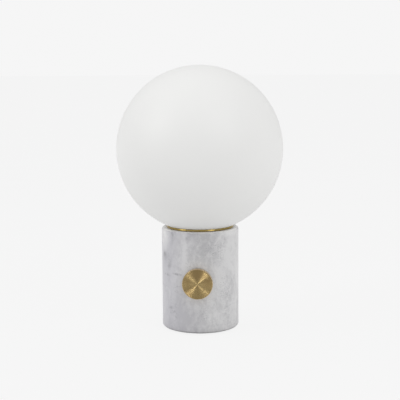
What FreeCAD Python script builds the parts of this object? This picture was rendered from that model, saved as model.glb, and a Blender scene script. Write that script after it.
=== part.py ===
import FreeCAD, Part
import math
import os

from FreeCAD import Vector

# Globe table lamp on a stone column, with a brass gallery and a front dimmer knob.
# Millimetres. +Z is up, the floor is Z = 0 under the middle of the column, and the knob faces -Y.

# Stone column
column_diameter = 93.0
column_height = 121.8
column_edge_radius = 3.6
cavity_diameter = 64.0

# Foot and base plate
foot_proud = 1.5
foot_thickness = 2.0
foot_inset = 0.5
foot_edge_radius = 0.5
plate_diameter = 80.0
plate_thickness = 1.5
plate_clearance = 0.5
cup_inner_diameter = 24.0
cup_height = 10.5
cup_bend_radius = 2.0

# Opal glass globe
globe_diameter = 200.0
glass_wall = 2.6
neck_diameter = 62.0
neck_root_radius = 3.0
neck_floor_gap = 1.5

# Brass gallery that carries the globe
rim_diameter = 81.2
rim_wall = 1.6
rim_edge_radius = 0.8
rim_foot_radius = 1.0
rim_glass_gap = 0.25
gallery_flange = 0.7
gallery_sheet = 1.5
well_diameter = 70.0
well_depth = 12.5
well_clearance = 0.5
well_bend_radius = 2.5

# Silicone seat ring under the glass
seat_width = 1.6
seat_thickness = 0.74
seat_gap = 0.3

# Leaf springs that grip the neck from inside
clip_count = 3
clip_first_angle = 60.0
clip_width = 8.0
clip_sheet = 0.5
clip_foot_length = 7.0
clip_glass_gap = 0.3
clip_spring_back = 3.2
clip_height = 11.5
clip_crest_height = 7.1
clip_bend_radius = 1.5
rivet_diameter = 3.0
rivet_head_diameter = 5.0
rivet_head_height = 1.0

# Support tube with its nuts and washers
tube_diameter = 10.0
tube_bore = 7.6
tube_end_spare = 1.0
tube_engagement = 7.0
thread_clearance = 0.1
window_width = 6.4
window_length = 18.0
window_drop = 2.5
nut_across_flats = 14.0
bottom_nut_thickness = 3.5
top_nut_thickness = 3.0
washer_diameter = 20.0
washer_thickness = 1.0

# Lampholder for a small screw cap
holder_diameter = 28.0
holder_wall = 1.6
holder_neck_diameter = 15.0
holder_neck_height = 6.0
holder_shoulder = 6.5
holder_shoulder_out = 4.7
holder_shoulder_up = 1.95
holder_cap_height = 19.5
holder_ledge = 1.4
insert_thickness = 5.5
insert_clearance = 0.2
holder_web = 1.5
holder_barrel_height = 13.5
holder_mouth_height = 6.0
lead_passage_diameter = 8.4
shell_bore = 14.3
shell_sheet = 0.5
shell_height = 15.0
shell_clearance = 0.55
contact_width = 4.0
contact_sheet = 0.5
contact_rise = 1.8
contact_length = 5.0

# Screw-cap lamp
bulb_diameter = 45.0
bulb_wall = 1.2
bulb_cap_diameter = 13.7
bulb_cap_height = 15.0
bulb_cap_wall = 0.4
bulb_tip_diameter = 5.0
bulb_tip_height = 1.2
bulb_tip_chamfer = 0.8
bulb_tip_gap = 0.3
bulb_insulator_height = 3.0
bulb_insulator_lip = 1.0
bulb_housing_height = 21.5
bulb_housing_wall = 1.6
bulb_housing_mouth = 31.6
bulb_waist_out = 3.0
bulb_waist_up = 9.7
led_plate_thickness = 1.2
led_plate_gap = 1.2

# Rotary dimmer in the column's front wall
knob_center_height = 63.4
case_width = 28.0
case_height = 28.0
case_depth = 16.0
case_corner_radius = 3.0
case_wall_gap = 0.3
bushing_diameter = 9.0
bushing_collar_diameter = 14.0
bushing_collar = 2.0
wall_hole_clearance = 0.5
spotface_diameter = 20.0
spotface_depth = 4.0
dimmer_washer_diameter = 17.0
dimmer_washer_thickness = 0.8
dimmer_nut_across_flats = 13.0
dimmer_nut_thickness = 2.5
bushing_end_spare = 0.5
shaft_diameter = 6.0
shaft_clearance = 0.05
shaft_flat_depth = 0.8
shaft_flat_length = 9.0
shaft_end_gap = 0.3
shaft_depth_in_case = 10.0
lug_width = 3.0
lug_thickness = 0.8
lug_length = 5.0
lug_spacing = 16.0

# Brass knob
knob_diameter = 36.0
knob_thickness = 7.0
knob_gap = 1.5
knob_edge_chamfer = 0.8
knob_back_chamfer = 0.4
knob_face_thickness = 2.0
grub_diameter = 3.0
grub_length = 9.0
grub_clearance = 0.1
grub_setback = 2.6
grub_socket_flats = 1.5
grub_socket_depth = 1.6

# Cord inlet bush in the column's rear wall
cord_height = 14.0
cord_bore = 7.0
bush_barrel_diameter = 10.0
bush_barrel_clearance = 0.2
bush_flange_diameter = 14.0
bush_flange_thickness = 2.5
bush_seat_depth = 1.3
bush_seat_clearance = 0.5
bush_mouth_radius = 1.0
bush_barb_rise = 0.6
bush_barb_length = 2.2
bush_barb_gap = 0.8

# Terminal block on the base plate
block_width = 13.0
block_length = 18.0
block_height = 12.0
block_edge_radius = 1.0
block_pole_spacing = 6.0
block_entry_diameter = 3.2
block_entry_height = 6.0
block_entry_depth = 7.0
block_screw_diameter = 2.6
block_screw_inset = 4.5
block_screw_depth = 2.0
block_slot_width = 0.6
block_slot_depth = 0.8
fixing_diameter = 3.0
fixing_head_diameter = 5.0
fixing_head_height = 2.0
fixing_clearance = 0.1

# Inner leads
lead_diameter = 2.2
lead_tube_offset = 1.4
lead_spread = 4.5
lead_tail = 4.0
lead_window_reach = 3.0
lead_window_part = 0.4
lead_block_run = 8.0
lead_lug_run = 8.0
lead_hang_points = 3
lead_turn_out = 0.2
lead_turn_up = 0.45
arc_share = 0.45

# Heights and radii that follow from the sizes above
column_radius = column_diameter / 2
cavity_radius = cavity_diameter / 2
column_bottom = foot_proud
column_top = column_bottom + column_height
foot_radius = plate_diameter / 2 - foot_inset
plate_bottom = foot_thickness
plate_top = plate_bottom + plate_thickness
cup_ceiling = plate_bottom + cup_height
cup_top = cup_ceiling + plate_thickness
cup_inner_radius = cup_inner_diameter / 2
block_offset = cup_inner_radius + plate_thickness + cup_bend_radius
bottom_washer_bottom = cup_ceiling - washer_thickness
bottom_nut_bottom = bottom_washer_bottom - bottom_nut_thickness
tube_radius = tube_diameter / 2
tube_bottom = bottom_nut_bottom - tube_end_spare
flange_top = column_top + gallery_flange
rim_radius = rim_diameter / 2
rim_inner_radius = rim_radius - rim_wall
well_radius = well_diameter / 2
well_outer_radius = well_radius + gallery_sheet
well_floor = flange_top - well_depth
well_bottom = well_floor - gallery_sheet
counterbore_floor = well_bottom - well_clearance
globe_radius = globe_diameter / 2
seat_outer_radius = rim_inner_radius - seat_gap
seat_inner_radius = seat_outer_radius - seat_width
seat_middle_radius = (seat_outer_radius + seat_inner_radius) / 2
seat_rise = math.sqrt((globe_radius + seat_gap) ** 2 - seat_middle_radius**2)
globe_center = flange_top + seat_thickness + seat_rise
neck_radius = neck_diameter / 2
neck_inner_radius = neck_radius - glass_wall
neck_end = well_floor + neck_floor_gap
top_nut_bottom = well_floor + washer_thickness
holder_bottom = top_nut_bottom + top_nut_thickness
tube_top = holder_bottom + tube_engagement
window_top = well_bottom - window_drop
window_low = window_top - window_length + window_width / 2
holder_radius = holder_diameter / 2
holder_inner_radius = holder_radius - holder_wall
holder_joint = holder_bottom + holder_cap_height
insert_bottom = holder_joint - holder_ledge
insert_top = insert_bottom + insert_thickness
web_top = insert_top + holder_web
holder_top = web_top + holder_barrel_height + holder_mouth_height
shell_radius = shell_bore / 2 + shell_sheet
barrel_radius = shell_radius + shell_clearance
bulb_tip_bottom = insert_top + contact_sheet + contact_rise + bulb_tip_gap
bulb_insulator_bottom = bulb_tip_bottom + bulb_tip_height
bulb_cap_bottom = bulb_insulator_bottom + bulb_insulator_height
bulb_cap_top = bulb_cap_bottom + bulb_cap_height
bulb_housing_top = bulb_cap_top + bulb_housing_height
bulb_radius = bulb_diameter / 2
bulb_mouth_radius = bulb_housing_mouth / 2
bulb_center = bulb_housing_top + math.sqrt(bulb_radius**2 - bulb_mouth_radius**2)

# Distances out from the lamp's axis along the dimmer, and along the cord inlet
case_front = math.sqrt(cavity_radius**2 - (case_width / 2) ** 2) - case_wall_gap
case_back = case_front - case_depth
nut_seat = column_radius - spotface_depth
dimmer_nut_bottom = nut_seat + dimmer_washer_thickness
dimmer_nut_top = dimmer_nut_bottom + dimmer_nut_thickness
bushing_end = dimmer_nut_top + bushing_end_spare
shaft_radius = shaft_diameter / 2
shaft_back = case_front - shaft_depth_in_case
knob_back = column_radius + knob_gap
knob_front = knob_back + knob_thickness
shaft_front = knob_front - knob_face_thickness
bush_seat = column_radius - bush_seat_depth
bush_back = bush_seat + bush_flange_thickness
bush_barb_front = cavity_radius - bush_barb_gap
bush_front = bush_barb_front - bush_barb_length

UP = Vector(0, 0, 1)
ORIGIN = Vector(0, 0, 0)


def flat(r, z):
    """A point of a turned profile, at radius r and height z."""
    return Vector(r, 0, z)


def line(a, b):
    return Part.LineSegment(a, b).toShape()


def arc(a, through, b):
    return Part.Arc(a, through, b).toShape()


def arc_about(center, a, b):
    """The shorter arc from a to b about a center in the profile's plane."""
    radius = (a - center).Length
    middle = ((a - center) + (b - center)).normalize() * radius
    return arc(a, center + middle, b)


def chain(points):
    """Straight edges through points."""
    return [line(a, b) for a, b in zip(points, points[1:])]


def turned(edges):
    """Solid of revolution about Z from a closed outline of edges."""
    face = Part.Face(Part.Wire(edges))
    return face.revolve(ORIGIN, UP, 360)


def turned_points(points):
    return turned(chain([flat(r, z) for r, z in points + points[:1]]))


def disc(radius, bottom, top):
    return Part.makeCylinder(radius, top - bottom, Vector(0, 0, bottom))


def ring(outer, inner, bottom, top):
    return disc(outer, bottom, top).cut(disc(inner, bottom, top))


def hexagon(across_flats, bottom, top):
    corner = across_flats / math.sqrt(3)
    points = [Vector(corner * math.cos(k * math.pi / 3), corner * math.sin(k * math.pi / 3), bottom)
              for k in range(7)]
    return Part.Face(Part.makePolygon(points)).extrude(Vector(0, 0, top - bottom))


def hex_nut(across_flats, bore_radius, bottom, top):
    """Hexagon nut with its corners turned off at both ends."""
    corner = across_flats / math.sqrt(3)
    chamfer = corner - across_flats / 2
    blank = turned_points([
        (0, bottom), (across_flats / 2, bottom), (corner, bottom + chamfer / 2),
        (corner, top - chamfer / 2), (across_flats / 2, top), (0, top),
    ])
    return hexagon(across_flats, bottom, top).common(blank).cut(disc(bore_radius, bottom, top))


def facing_front(shape, height):
    """Turns a shape made along +Z so that it points out of the column's front."""
    moved = shape.copy()
    moved.rotate(ORIGIN, Vector(1, 0, 0), 90)
    moved.translate(Vector(0, 0, height))
    return moved


def facing_rear(shape, height):
    moved = shape.copy()
    moved.rotate(ORIGIN, Vector(1, 0, 0), -90)
    moved.translate(Vector(0, 0, height))
    return moved


def around_axis(shape, count, first_angle):
    """Copies of a shape at even angles about the lamp's axis."""
    copies = []
    for k in range(count):
        copy = shape.copy()
        copy.rotate(ORIGIN, UP, first_angle + 360 * k / count)
        copies.append(copy)
    return Part.makeCompound(copies)


def rounded_route(points, limit=None):
    """Straight runs joined by tangent arcs, and the arcs' radii. Each arc is as large as its runs allow."""
    edges = []
    radii = []
    start = points[0]
    for before, corner, after in zip(points, points[1:], points[2:]):
        into = (corner - before).normalize()
        out = (after - corner).normalize()
        half_turn = into.getAngle(out) / 2
        setback = arc_share * min((corner - before).Length, (after - corner).Length)
        radius = setback / math.tan(half_turn)
        if limit and radius > limit:
            radius = limit
            setback = radius * math.tan(half_turn)
        a = corner - into * setback
        b = corner + out * setback
        bisector = (out - into).normalize()
        middle = corner + bisector * (radius / math.cos(half_turn) - radius)
        edges += [line(start, a), arc(a, middle, b)]
        radii.append(radius)
        start = b
    edges.append(line(start, points[-1]))
    return Part.Wire(edges), radii


def swept(profile, path):
    sweep = Part.BRepOffsetAPI.MakePipeShell(path)
    sweep.add(profile)
    sweep.build()
    sweep.makeSolid()
    return sweep.shape()


def stone_column():
    """Core-drilled stone cylinder with seats for the gallery, base plate, dimmer and cord bush."""
    edge = min(column_edge_radius, column_radius - cavity_radius)
    blank = disc(column_radius, column_bottom, column_top)
    rims = [e for e in blank.Edges if len(e.Vertexes) == 1]
    stone = blank.makeFillet(edge, rims)
    stone = stone.cut(disc(cavity_radius, column_bottom, column_top))
    stone = stone.cut(disc(well_outer_radius + well_clearance, counterbore_floor, column_top))
    stone = stone.cut(disc(plate_diameter / 2 + plate_clearance, column_bottom, plate_top))
    wall_hole = disc(bushing_diameter / 2 + wall_hole_clearance, case_front, column_radius)
    spotface = disc(spotface_diameter / 2, nut_seat, column_radius)
    stone = stone.cut(facing_front(wall_hole.fuse(spotface), knob_center_height))
    cord_hole = disc(bush_barrel_diameter / 2 + bush_barrel_clearance, bush_front, column_radius)
    bush_pocket = disc(bush_flange_diameter / 2 + bush_seat_clearance, bush_seat, column_radius)
    return stone.cut(facing_rear(cord_hole.fuse(bush_pocket), cord_height))


def base_plate():
    """Pressed steel disc with a raised cup that hides the tube's lower nut."""
    outer = plate_diameter / 2
    inner = cup_inner_radius
    sheet = plate_thickness
    bend = cup_bend_radius
    hole = tube_radius + thread_clearance
    low_bend = flat(inner + sheet + bend, plate_top + bend)
    high_bend = flat(inner - bend, cup_ceiling - bend)
    edges = chain([flat(inner + sheet + bend, plate_bottom), flat(outer, plate_bottom),
                   flat(outer, plate_top), flat(low_bend.x, plate_top)])
    edges.append(arc_about(low_bend, flat(low_bend.x, plate_top), flat(inner + sheet, low_bend.z)))
    edges.append(line(flat(inner + sheet, low_bend.z), flat(inner + sheet, high_bend.z)))
    edges.append(arc_about(high_bend, flat(inner + sheet, high_bend.z), flat(high_bend.x, cup_top)))
    edges += chain([flat(high_bend.x, cup_top), flat(hole, cup_top), flat(hole, cup_ceiling),
                    flat(high_bend.x, cup_ceiling)])
    edges.append(arc_about(high_bend, flat(high_bend.x, cup_ceiling), flat(inner, high_bend.z)))
    edges.append(line(flat(inner, high_bend.z), flat(inner, low_bend.z)))
    edges.append(arc_about(low_bend, flat(inner, low_bend.z), flat(low_bend.x, plate_bottom)))
    plate = turned(edges)
    fixing_hole = disc(fixing_diameter / 2 + fixing_clearance, plate_bottom, plate_top)
    fixing_hole.translate(Vector(block_offset + block_width / 2, 0, 0))
    return plate.cut(fixing_hole)


def foot_pad():
    pad = disc(foot_radius, 0, foot_thickness)
    rims = [e for e in pad.Edges if len(e.Vertexes) == 1]
    lower_rim = [e for e in rims if e.CenterOfMass.z < foot_thickness / 2]
    return pad.makeFillet(min(foot_edge_radius, foot_proud / 2), lower_rim)


def tangent_on_globe(center, radius):
    """Where a circle about center touches a sphere of that radius about the globe's center."""
    heart = flat(0, globe_center)
    return heart + (center - heart).normalize() * radius


def globe():
    """Blown globe of even wall, drawn into a short neck with a fire-polished lip."""
    heart = flat(0, globe_center)
    inner_radius = globe_radius - glass_wall
    root_r = neck_radius + neck_root_radius
    root = flat(root_r, globe_center - math.sqrt((globe_radius + neck_root_radius) ** 2 - root_r**2))
    lip_center = flat(neck_radius - glass_wall / 2, neck_end + glass_wall / 2)
    outer_top = flat(0, globe_center + globe_radius)
    inner_top = flat(0, globe_center + inner_radius)
    outer_root = tangent_on_globe(root, globe_radius)
    inner_root = tangent_on_globe(root, inner_radius)
    edges = [
        arc(outer_top, flat(globe_radius, globe_center), outer_root),
        arc_about(root, outer_root, flat(neck_radius, root.z)),
        line(flat(neck_radius, root.z), flat(neck_radius, lip_center.z)),
        arc(flat(neck_radius, lip_center.z), lip_center - UP * (glass_wall / 2),
            flat(neck_inner_radius, lip_center.z)),
        line(flat(neck_inner_radius, lip_center.z), flat(neck_inner_radius, root.z)),
        arc_about(root, flat(neck_inner_radius, root.z), inner_root),
        arc(inner_root, heart + flat(inner_radius, 0), inner_top),
        line(inner_top, outer_top),
    ]
    return turned(edges)


def globe_gallery():
    """Spun brass dish: a rim that follows the glass, a flange on the stone and a well for the neck."""
    heart = flat(0, globe_center)
    lip_radius = globe_radius + rim_glass_gap
    edge_r = rim_radius - rim_edge_radius
    edge = flat(edge_r, globe_center - math.sqrt((lip_radius + rim_edge_radius) ** 2 - edge_r**2))
    lip_outer = tangent_on_globe(edge, lip_radius)
    lip_inner = flat(rim_inner_radius, globe_center - math.sqrt(lip_radius**2 - rim_inner_radius**2))
    foot = flat(rim_radius - rim_foot_radius, column_top + rim_foot_radius)
    bend = well_bend_radius
    hole = tube_radius + thread_clearance
    corner = flat(well_radius - bend + gallery_sheet, well_bottom + bend)
    inside = flat(well_radius - bend + gallery_sheet, well_floor + bend - gallery_sheet)
    edges = [
        line(flat(hole, well_bottom), flat(corner.x, well_bottom)),
        arc_about(corner, flat(corner.x, well_bottom), flat(well_outer_radius, corner.z)),
        line(flat(well_outer_radius, corner.z), flat(well_outer_radius, column_top)),
        line(flat(well_outer_radius, column_top), flat(foot.x, column_top)),
        arc_about(foot, flat(foot.x, column_top), flat(rim_radius, foot.z)),
        line(flat(rim_radius, foot.z), flat(rim_radius, edge.z)),
        arc_about(edge, flat(rim_radius, edge.z), lip_outer),
        arc_about(heart, lip_outer, lip_inner),
        line(lip_inner, flat(rim_inner_radius, flange_top)),
    ]
    edges += chain([flat(rim_inner_radius, flange_top), flat(well_radius, flange_top),
                    flat(well_radius, inside.z)])
    edges.append(arc_about(inside, flat(well_radius, inside.z), flat(inside.x, well_floor)))
    edges += chain([flat(inside.x, well_floor), flat(hole, well_floor), flat(hole, well_bottom)])
    dish = turned(edges).cut(Part.makeSphere(lip_radius, heart))
    shank = disc(rivet_diameter / 2 + thread_clearance, well_bottom, well_floor)
    shank.translate(Vector(rivet_place(), 0, 0))
    return dish.cut(around_axis(shank, clip_count, clip_first_angle))


def seat_gasket():
    """Silicone ring whose top face follows the glass."""
    heart = flat(0, globe_center)
    reach = globe_radius + seat_gap
    outer = flat(seat_outer_radius, globe_center - math.sqrt(reach**2 - seat_outer_radius**2))
    inner = flat(seat_inner_radius, globe_center - math.sqrt(reach**2 - seat_inner_radius**2))
    edges = chain([flat(seat_inner_radius, flange_top), flat(seat_outer_radius, flange_top), outer])
    edges.append(arc_about(heart, outer, inner))
    edges.append(line(inner, flat(seat_inner_radius, flange_top)))
    return turned(edges)


def clip_crest():
    """Radius of the middle of the spring sheet where it comes nearest to the glass."""
    return neck_inner_radius - clip_glass_gap - clip_sheet / 2


def rivet_place():
    return clip_crest() - clip_spring_back - clip_foot_length / 2


def globe_clips():
    """Leaf springs with a foot on the gallery's floor and a crest inside the glass neck."""
    sheet_middle = well_floor + clip_sheet / 2
    leg_r = clip_crest() - clip_spring_back
    points = [
        flat(leg_r - clip_foot_length, sheet_middle),
        flat(leg_r, sheet_middle),
        flat(clip_crest(), well_floor + clip_crest_height),
        flat(leg_r, well_floor + clip_height),
    ]
    path = rounded_route(points, clip_bend_radius)[0]
    start = points[0]
    half = Vector(0, clip_width / 2, 0)
    rise = UP * (clip_sheet / 2)
    profile = Part.makePolygon([start + half + rise, start + half - rise, start - half - rise,
                                start - half + rise, start + half + rise])
    clip = swept(profile, path)
    hole = disc(rivet_diameter / 2 + thread_clearance, well_floor, well_floor + clip_sheet)
    hole.translate(Vector(rivet_place(), 0, 0))
    return around_axis(clip.cut(hole), clip_count, clip_first_angle)


def clip_rivets():
    top = well_floor + clip_sheet
    shank = rivet_diameter / 2
    head = rivet_head_diameter / 2
    rivet = turned_points([
        (0, well_bottom), (shank, well_bottom), (shank, top), (head, top),
        (head, top + rivet_head_height / 2), (head / 2, top + rivet_head_height),
        (0, top + rivet_head_height),
    ])
    rivet.translate(Vector(rivet_place(), 0, 0))
    return around_axis(rivet, clip_count, clip_first_angle)


def support_tube():
    """Threaded tube that clamps the stone, with a window for the leads."""
    tube = ring(tube_radius, tube_bore / 2, tube_bottom, tube_top)
    end_radius = window_width / 2
    window = Part.makeBox(tube_diameter, window_width, window_length - window_width,
                          Vector(0, -end_radius, window_low))
    for end in (window_top - end_radius, window_low):
        rounded = Part.makeCylinder(end_radius, tube_diameter, Vector(0, 0, end), Vector(1, 0, 0))
        window = window.fuse(rounded)
    return tube.cut(window)


def tube_washer(bottom):
    return ring(washer_diameter / 2, tube_radius + thread_clearance, bottom, bottom + washer_thickness)


def lampholder_cap():
    """Lower half of the lampholder: threaded neck, rounded shoulder and a ledge for the insert."""
    neck = holder_neck_diameter / 2
    shoulder_z = holder_bottom + holder_neck_height
    wide_z = shoulder_z + holder_shoulder
    ledge_r = holder_inner_radius - holder_ledge
    passage = lead_passage_diameter / 2
    bore = tube_radius + thread_clearance
    stop = tube_top + thread_clearance
    inner_floor = stop + holder_wall
    bow = flat(neck + holder_shoulder_out, shoulder_z + holder_shoulder_up)
    edges = chain([flat(bore, holder_bottom), flat(neck, holder_bottom), flat(neck, shoulder_z)])
    edges.append(arc(flat(neck, shoulder_z), bow, flat(holder_radius, wide_z)))
    edges += chain([
        flat(holder_radius, wide_z), flat(holder_radius, holder_joint),
        flat(holder_inner_radius, holder_joint), flat(holder_inner_radius, insert_bottom),
        flat(ledge_r, insert_bottom), flat(ledge_r, wide_z),
        flat(neck, inner_floor), flat(passage, inner_floor), flat(passage, stop), flat(bore, stop),
        flat(bore, holder_bottom),
    ])
    return turned(edges)


def lampholder_insert():
    """Contact carrier clamped between the two halves, with a passage for each lead's terminal."""
    carrier = disc(holder_inner_radius - insert_clearance, insert_bottom, insert_top)
    for side in (-1, 1):
        terminal = disc(lead_diameter / 2, insert_bottom, insert_bottom + lead_diameter)
        terminal.translate(Vector(0, side * lead_spread, 0))
        carrier = carrier.cut(terminal)
    return carrier


def lampholder_body():
    """Upper half of the lampholder, with an open mouth round the lamp's cap."""
    barrel_top = web_top + holder_barrel_height
    mouth_r = holder_inner_radius
    rounded = holder_wall / 2
    return turned_points([
        (holder_inner_radius, holder_joint), (holder_radius, holder_joint),
        (holder_radius, holder_top - rounded), (holder_radius - rounded, holder_top),
        (mouth_r, holder_top), (barrel_radius + holder_wall, barrel_top), (barrel_radius, barrel_top),
        (barrel_radius, insert_top), (holder_inner_radius, insert_top),
    ])


def lampholder_shell():
    return ring(shell_radius, shell_bore / 2, insert_top, insert_top + shell_height)


def lampholder_contact():
    """Sprung tongue under the lamp's tip."""
    middle = insert_top + contact_sheet / 2
    points = [
        Vector(-contact_length, 0, middle),
        Vector(-contact_length / 4, 0, middle),
        Vector(contact_length / 4, 0, middle + contact_rise),
        Vector(contact_length / 2, 0, middle + contact_rise),
    ]
    path = rounded_route(points, contact_sheet * 2)[0]
    start = points[0]
    half = Vector(0, contact_width / 2, 0)
    rise = UP * (contact_sheet / 2)
    profile = Part.makePolygon([start + half + rise, start + half - rise, start - half - rise,
                                start - half + rise, start + half + rise])
    return swept(profile, path)


def bulb_tip():
    radius = bulb_tip_diameter / 2
    return turned_points([
        (0, bulb_tip_bottom), (radius - bulb_tip_chamfer, bulb_tip_bottom),
        (radius, bulb_tip_bottom + bulb_tip_height / 2), (radius, bulb_insulator_bottom),
        (0, bulb_insulator_bottom),
    ])


def bulb_insulator():
    narrow = bulb_tip_diameter / 2 + bulb_insulator_lip
    wide = bulb_cap_diameter / 2 - bulb_cap_wall
    return turned_points([
        (0, bulb_insulator_bottom), (narrow, bulb_insulator_bottom), (wide, bulb_cap_bottom),
        (0, bulb_cap_bottom),
    ])


def bulb_cap():
    outer = bulb_cap_diameter / 2
    inner = outer - bulb_cap_wall
    return turned_points([
        (0, bulb_cap_bottom), (inner, bulb_cap_bottom), (outer, bulb_cap_bottom + bulb_cap_wall * 2),
        (outer, bulb_cap_top), (inner, bulb_cap_top), (inner, bulb_cap_bottom + bulb_cap_wall * 2),
        (0, bulb_cap_bottom + bulb_cap_wall * 2),
    ])


def bulb_housing():
    """Flared collar between the screw cap and the diffuser."""
    foot = bulb_cap_diameter / 2
    wall = bulb_housing_wall
    waist = flat(foot + bulb_waist_out, bulb_cap_top + bulb_waist_up)
    inner_waist = flat(waist.x - wall, waist.z)
    edges = [
        arc(flat(foot, bulb_cap_top), waist, flat(bulb_mouth_radius, bulb_housing_top)),
        line(flat(bulb_mouth_radius, bulb_housing_top), flat(bulb_mouth_radius - wall, bulb_housing_top)),
        arc(flat(bulb_mouth_radius - wall, bulb_housing_top), inner_waist, flat(foot - wall, bulb_cap_top)),
        line(flat(foot - wall, bulb_cap_top), flat(foot, bulb_cap_top)),
    ]
    return turned(edges)


def bulb_diffuser():
    """Part-spherical diffuser standing on the collar's mouth."""
    heart = flat(0, bulb_center)
    inner = bulb_radius - bulb_wall
    inner_foot = flat(math.sqrt(inner**2 - (bulb_center - bulb_housing_top) ** 2), bulb_housing_top)
    edges = [
        arc(flat(bulb_mouth_radius, bulb_housing_top), heart + flat(bulb_radius, 0),
            heart + UP * bulb_radius),
        line(heart + UP * bulb_radius, heart + UP * inner),
        arc(heart + UP * inner, heart + flat(inner, 0), inner_foot),
        line(inner_foot, flat(bulb_mouth_radius, bulb_housing_top)),
    ]
    return turned(edges)


def bulb_led_plate():
    """Board that carries the light source, seated in the collar's mouth."""
    radius = bulb_mouth_radius - bulb_housing_wall - led_plate_gap
    return disc(radius, bulb_housing_top - led_plate_thickness, bulb_housing_top)


def dimmer_case():
    """Moulded dimmer housing behind the front wall, bored for the shaft."""
    case = Part.makeBox(case_width, case_height, case_depth,
                        Vector(-case_width / 2, -case_height / 2, case_back))
    corners = [e for e in case.Edges if abs(e.Vertexes[0].Z - e.Vertexes[1].Z) > case_depth / 2]
    case = case.makeFillet(case_corner_radius, corners)
    bore = disc(shaft_radius + shaft_clearance, shaft_back - shaft_end_gap, case_front)
    collar_seat = disc(bushing_collar_diameter / 2, case_front - bushing_collar, case_front)
    return facing_front(case.cut(bore).cut(collar_seat), knob_center_height)


def dimmer_bushing():
    """Threaded bush with a collar sunk in the dimmer's front face."""
    bush = disc(bushing_diameter / 2, case_front, bushing_end)
    bush = bush.fuse(disc(bushing_collar_diameter / 2, case_front - bushing_collar, case_front))
    bore = disc(shaft_radius + shaft_clearance, case_front - bushing_collar, bushing_end)
    return facing_front(bush.removeSplitter().cut(bore), knob_center_height)


def dimmer_washer():
    bore = bushing_diameter / 2 + thread_clearance
    washer = ring(dimmer_washer_diameter / 2, bore, nut_seat, dimmer_nut_bottom)
    return facing_front(washer, knob_center_height)


def dimmer_nut():
    bore = bushing_diameter / 2 + thread_clearance
    nut = hex_nut(dimmer_nut_across_flats, bore, dimmer_nut_bottom, dimmer_nut_top)
    return facing_front(nut, knob_center_height)


def lug_height(side):
    """Height of a lug's free end, above the case for side 1 and below it for side -1."""
    return knob_center_height + side * (case_height / 2 + lug_length)


def lug_depth():
    return (case_front + case_back) / 2


def dimmer_lugs():
    """Solder lugs out of the dimmer's top and underside."""
    lugs = []
    for side in (-1, 1):
        root = knob_center_height + side * case_height / 2
        bottom = min(root, lug_height(side))
        corner = Vector((lug_spacing - lug_width) / 2, -lug_depth() - lug_thickness / 2, bottom)
        lugs.append(Part.makeBox(lug_width, lug_thickness, lug_length, corner))
    return Part.makeCompound(lugs)


def dimmer_shaft():
    """Turning shaft with a flat for the knob's grub screw."""
    shaft = disc(shaft_radius, shaft_back, shaft_front)
    flat_cut = Part.makeBox(shaft_diameter, shaft_flat_depth, shaft_flat_length,
                            Vector(-shaft_radius, -shaft_radius, shaft_front - shaft_flat_length))
    return facing_front(shaft.cut(flat_cut), knob_center_height)


def grub_reach():
    """How far out along the knob the grub screw stands."""
    return knob_back + grub_setback


def knob():
    """Turned brass disc, blind-bored for the shaft and cross-bored for its grub screw."""
    radius = knob_diameter / 2
    blank = turned_points([
        (0, knob_back), (radius - knob_back_chamfer, knob_back), (radius, knob_back + knob_back_chamfer),
        (radius, knob_front - knob_edge_chamfer), (radius - knob_edge_chamfer, knob_front), (0, knob_front),
    ])
    bore = disc(shaft_radius + shaft_clearance, knob_back, shaft_front)
    cross = Part.makeCylinder(grub_diameter / 2 + grub_clearance, radius, Vector(0, 0, grub_reach()),
                              Vector(0, -1, 0))
    return facing_front(blank.cut(bore).cut(cross), knob_center_height)


def knob_grub_screw():
    inner_end = shaft_radius - shaft_flat_depth
    screw = disc(grub_diameter / 2, inner_end, inner_end + grub_length)
    socket = hexagon(grub_socket_flats, inner_end + grub_length - grub_socket_depth, inner_end + grub_length)
    screw = screw.cut(socket)
    screw.rotate(ORIGIN, Vector(1, 0, 0), 90)
    screw.translate(Vector(0, 0, grub_reach()))
    return facing_front(screw, knob_center_height)


def cord_bush():
    """Snap-in bush that lines the cord's way through the stone."""
    bore = cord_bore / 2
    barrel = bush_barrel_diameter / 2
    flange = bush_flange_diameter / 2
    mouth = flat(bore + bush_mouth_radius, bush_back - bush_mouth_radius)
    edges = chain([
        flat(bore, bush_front), flat(barrel - bush_barb_rise, bush_front),
        flat(barrel + bush_barb_rise, bush_barb_front), flat(barrel, bush_barb_front),
        flat(barrel, bush_seat), flat(flange, bush_seat), flat(flange, bush_back - bush_mouth_radius),
    ])
    shoulder = flat(flange - bush_mouth_radius, bush_back - bush_mouth_radius)
    edges.append(arc_about(shoulder, flat(flange, shoulder.z), flat(shoulder.x, bush_back)))
    edges.append(line(flat(shoulder.x, bush_back), flat(mouth.x, bush_back)))
    edges.append(arc_about(mouth, flat(mouth.x, bush_back), flat(bore, mouth.z)))
    edges.append(line(flat(bore, mouth.z), flat(bore, bush_front)))
    return facing_rear(turned(edges), cord_height)


def pole_places():
    """X of each pole of the terminal block."""
    middle = block_offset + block_width / 2
    return [middle - block_pole_spacing / 2, middle + block_pole_spacing / 2]


def screw_places():
    """Middle of each terminal screw, one at either end of each pole."""
    reach = block_length / 2 - block_screw_inset
    return [(x, y) for x in pole_places() for y in (-reach, reach)]


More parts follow.
